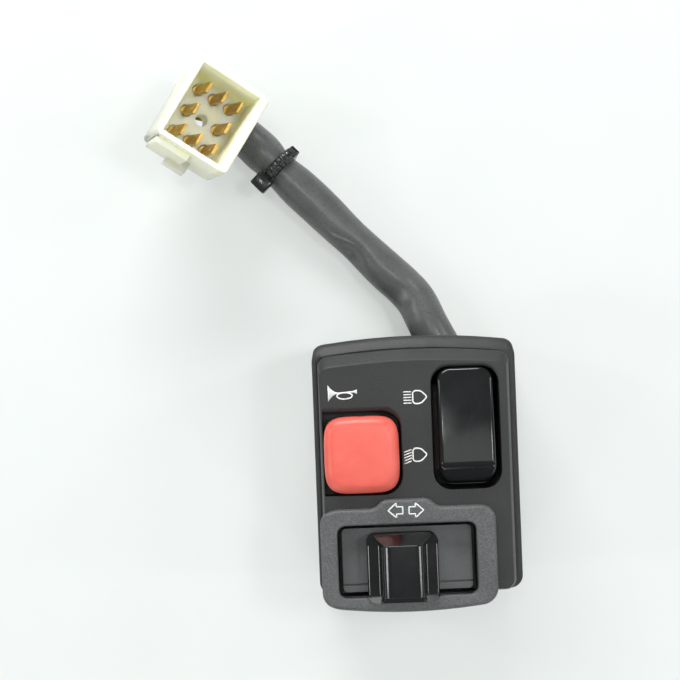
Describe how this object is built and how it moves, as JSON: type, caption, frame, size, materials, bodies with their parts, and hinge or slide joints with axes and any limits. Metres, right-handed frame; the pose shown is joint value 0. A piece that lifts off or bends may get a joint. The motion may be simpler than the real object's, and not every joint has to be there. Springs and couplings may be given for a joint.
{
  "type": "handlebar switch cluster",
  "caption": "Left-hand motorcycle switch cluster with horn button, beam rocker and indicator slide, clamped round the handlebar, with a sleeved lead to a multi-way connector.",
  "frame": {"origin": "centre of the handlebar's bore, on the plane where the two casing halves meet", "axes": "+X along the handlebar to the right as seen from the face, +Y up the face, +Z out of the face"},
  "size_m": [0.0867, 0.1307, 0.0511],
  "materials": {
    "casing": "grained black moulding",
    "bezel": "coarse grained black",
    "horn_red": "satin red",
    "gloss_black": "polished black",
    "nylon_inner": "natural acetal",
    "board": "phenolic brown",
    "contact_brass": "bright brass",
    "steel": "zinc plated",
    "rubber": "matte rubber",
    "sleeve_pvc": "satin black",
    "connector_nylon": "cream white nylon",
    "lead_insulation": "coloured PVC"
  },
  "bodies": {
    "housing": {"front_casing": "casing", "rear_casing": "casing", "indicator_bezel": "bezel", "indicator_floor": "bezel", "horn_base": "board", "dip_base": "board", "indicator_base": "board", "horn_contacts": "contact_brass", "dip_terminals": "contact_brass", "indicator_terminals": "contact_brass", "connector_terminals": "contact_brass", "clamp_inserts": "contact_brass", "clamp_screws": "steel", "board_screws": "steel", "dip_pivot_pins": "steel", "horn_spring": "steel", "cable_grommet": "rubber", "cable_sleeve": "sleeve_pvc", "cable_tie": "sleeve_pvc", "connector_shell": "connector_nylon", "connector_leads": "lead_insulation"},
    "horn": {"horn_button": "horn_red", "horn_contact_bridge": "contact_brass", "horn_clip": "steel"},
    "rocker": {"dip_rocker": "gloss_black", "dip_plunger": "nylon_inner", "dip_spring": "steel"},
    "blade": {"dip_contact_blade": "contact_brass"},
    "slider": {"indicator_knob": "gloss_black", "indicator_carriage": "nylon_inner", "indicator_contact_bridge": "contact_brass", "detent_ball": "steel", "detent_spring": "steel"}
  },
  "joints": [
    {"name": "horn_press", "type": "slide", "parent": "housing", "child": "horn", "axis": [0, 0, -1], "range_m": [0, 0.0022], "stiffness_N_per_m": 700, "springref_m": -0.002, "deforming": ["horn_spring"]},
    {"name": "dip_rock", "type": "hinge", "parent": "housing", "child": "rocker", "pos_m": [0.01112, 0.0054, 0.0224], "axis": [1, 0, 0], "range_deg": [0, 14]},
    {"name": "dip_blade_tilt", "type": "hinge", "parent": "housing", "child": "blade", "pos_m": [0.01112, 0.0054, 0.016], "axis": [1, 0, 0], "range_deg": [-10.5, 0.5]},
    {"name": "indicator_slide", "type": "slide", "parent": "housing", "child": "slider", "axis": [1, 0, 0], "range_m": [-0.005, 0.005]}
  ],
  "couplings": [
    {"joint": "dip_blade_tilt", "follows": "dip_rock", "ratio": -0.71429}
  ]
}
